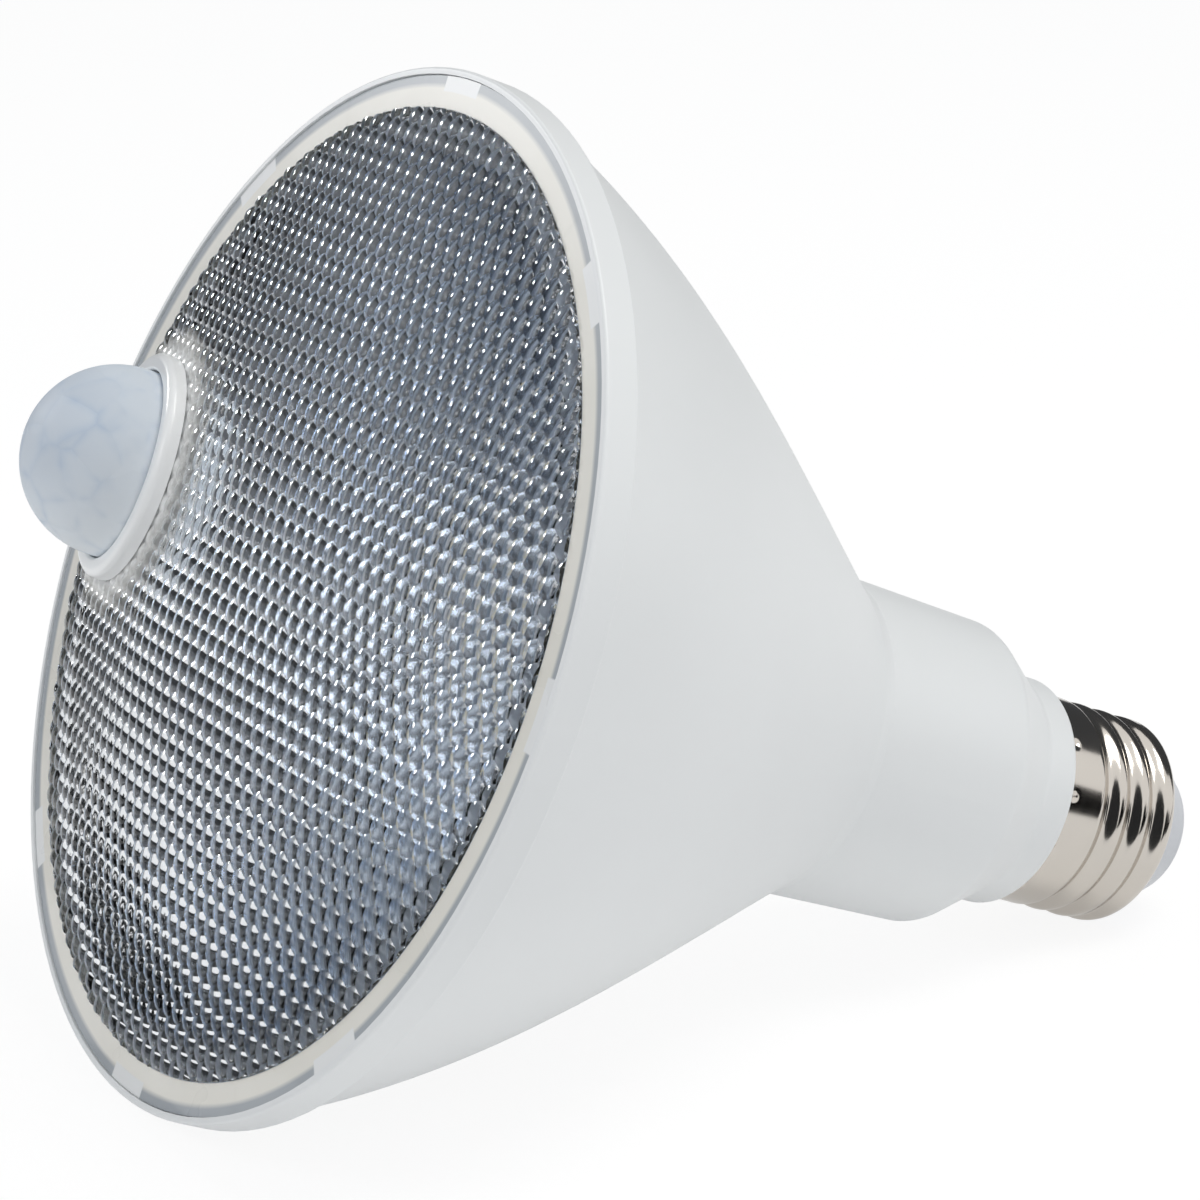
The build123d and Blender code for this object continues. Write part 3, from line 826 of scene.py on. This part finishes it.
lights = {
    "keyLight": {"place": (0.25, 0.35, 1.0), "aim": (0, 0, 0.05), "size": (0.5, 0.5),
                 "power": 4.6, "tint": (1.0, 0.985, 0.94)},
    "fillLight": {"place": (0.1, -0.9, 0.8), "aim": (0, 0, 0.05), "size": (0.3, 0.3),
                  "power": 1.6},
    "dotLight": {"place": (-1.02, -0.5, 0.47), "aim": (0, -0.05, 0.06), "size": (0.22, 0.16),
                 "power": 3.7},
    "frontLight": {"place": (1.02, -0.55, 0.6), "aim": (0, -0.05, 0.06), "size": (0.7, 0.32),
                   "power": 4.2},
}
shot = {
    "azimuth": 61.6,
    "elevation": 15.75,
    "sensor": 36,
    "focalPixels": 4188.4,
    "framePixels": 1200,
    "nearest": 0.01,
    "rimCentre": (-34.302, 1.479, 465.357),  # mm right, up and forward of the camera
}


def shotAxes():
    a, e = radians(shot["azimuth"]), radians(shot["elevation"])
    ahead = Vector((-sin(a) * cos(e), cos(a) * cos(e), -sin(e)))
    right = Vector((cos(a), sin(a), 0))
    return right, right.cross(ahead), ahead


def addCamera():
    right, up, ahead = shotAxes()
    rim = pose @ Vector((0, 0, lamp["rimFront"] * mm))
    x, y, z = (part * mm for part in shot["rimCentre"])
    data = bpy.data.cameras.new("camera")
    data.sensor_width = shot["sensor"]
    data.lens = shot["focalPixels"] / shot["framePixels"] * shot["sensor"]
    data.clip_start = shot["nearest"]
    camera = bpy.data.objects.new("camera", data)
    bpy.context.scene.collection.objects.link(camera)
    turn = Matrix((right, up, -ahead)).transposed().to_4x4()
    camera.matrix_world = Matrix.Translation(rim - right * x - up * y - ahead * z) @ turn
    bpy.context.scene.camera = camera


def addPanel(name, place, aim, size, power, tint=(1, 1, 1)):
    data = bpy.data.lights.new(name, "AREA")
    data.shape = "RECTANGLE"
    data.size, data.size_y = size
    data.energy = power
    data.color = tint
    panel = bpy.data.objects.new(name, data)
    bpy.context.scene.collection.objects.link(panel)
    panel.location = place
    panel.rotation_euler = (Vector(aim) - Vector(place)).to_track_quat("-Z", "Y").to_euler()
    return panel


def flagFinish(name, shade):
    # dark to mirror-like views, and not there for light that has met a dull surface
    surface = Surface(name)
    surface.tree.nodes.remove(surface.shader)
    nodes, links = surface.tree.nodes, surface.tree.links
    dark = nodes.new("ShaderNodeEmission")
    dark.inputs["Color"].default_value = (shade * 0.95, shade, shade * 1.08, 1)
    clear = nodes.new("ShaderNodeBsdfTransparent")
    mix = nodes.new("ShaderNodeMixShader")
    met = surface.node("ShaderNodeLightPath", out="Diffuse Depth")
    links.new(met.math("MINIMUM", met, 1.0).socket, mix.inputs[0])
    links.new(dark.outputs[0], mix.inputs[1])
    links.new(clear.outputs[0], mix.inputs[2])
    links.new(mix.outputs[0], nodes["Material Output"].inputs[0])
    return surface.material


def hangFlag(flag, name, shade):
    flag.name = name
    flag.data.materials.append(flagFinish(name, shade))
    flag.visible_camera = False
    flag.visible_diffuse = False
    flag.visible_shadow = False


def addFlag(name, way, spread, shade, radius=1.6, low=-1.0, high=1.0):
    # dark side of the room, a part of a ball that only reflections and glass can see
    clearSelection()
    bpy.ops.mesh.primitive_uv_sphere_add(segments=room["flagSteps"], ring_count=room["flagSteps"],
                                         radius=radius)
    flag = bpy.context.object
    centres = faceCentres(flag)
    centres /= np.linalg.norm(centres, axis=1)[:, None]
    outside = centres @ np.array(Vector(way).normalized()) < cos(radians(spread))
    deleteFaces(flag, outside | (centres[:, 2] < low) | (centres[:, 2] > high))
    hangFlag(flag, name, shade)


def addTableCard(name, corner, reach, shade):
    # dark card on the floor
    clearSelection()
    bpy.ops.mesh.primitive_plane_add(size=1.0)
    card = bpy.context.object
    middle = (corner[0] + reach[0] / 2, corner[1] + reach[1] / 2, room["cardHeight"])
    size = Matrix.Diagonal((reach[0], reach[1], 1, 1))
    card.data.transform(Matrix.Translation(middle) @ size)
    hangFlag(card, name, shade)


def rayLevels(tree, camera, mirror, other):
    # one level for what the camera sees, one for metal and glass, and one for the rest
    path = tree.nodes.new("ShaderNodeLightPath")
    kinds = {"Is Glossy Ray": mirror, "Is Transmission Ray": mirror, "Is Camera Ray": camera}
    total = None
    for kind, level in kinds.items():
        choice = tree.nodes.new("ShaderNodeMix")
        tree.links.new(path.outputs[kind], choice.inputs["Factor"])
        choice.inputs[2].default_value = other
        if total is not None:
            tree.links.new(total, choice.inputs[2])
        choice.inputs[3].default_value = level
        total = choice.outputs[0]
    return total


def addWorld():
    world = bpy.data.worlds.new("studio")
    bpy.context.scene.world = world
    world.use_nodes = True
    tree = world.node_tree
    level = tree.nodes.new("ShaderNodeMix")
    level.data_type = "RGBA"
    level.inputs[6].default_value = grey(room["ambientTint"], room["ambient"])
    level.inputs[7].default_value = (1, 1, 1, 1)
    tree.links.new(rayLevels(tree, 1.0, 1.0, 0.0), level.inputs[0])
    tree.links.new(level.outputs[2], tree.nodes["Background"].inputs["Color"])


def addFloor():
    clearSelection()
    bpy.ops.mesh.primitive_plane_add(size=room["floorSize"], location=(0, 0, 0))
    floor = bpy.context.object
    floor.name = "floor"
    surface = Surface("floorWhite", **{"Base Color": (0.9, 0.9, 0.9, 1), "Roughness": 0.9})
    glow = surface.node("ShaderNodeEmission", Strength=room["floorGlow"])
    levels = rayLevels(surface.tree, 1 - room["floorShadow"], room["tableShine"], room["tableGlow"])
    surface.cover(Value(surface, levels), glow)
    floor.data.materials.append(surface.material)


addWorld()
addFloor()
addCamera()
for name, flag in flags.items():
    addFlag(name, **flag)
for name, card in cards.items():
    addTableCard(name, **card)
panels = {name: addPanel(name, **light) for name, light in lights.items()}
for name in ("dotLight", "frontLight"):
    panels[name].visible_diffuse = False
    panels[name].visible_transmission = name == "frontLight"
    panels[name].visible_glossy = name == "dotLight"
bpy.context.scene.view_settings.view_transform = "Standard"
print("studio ready")
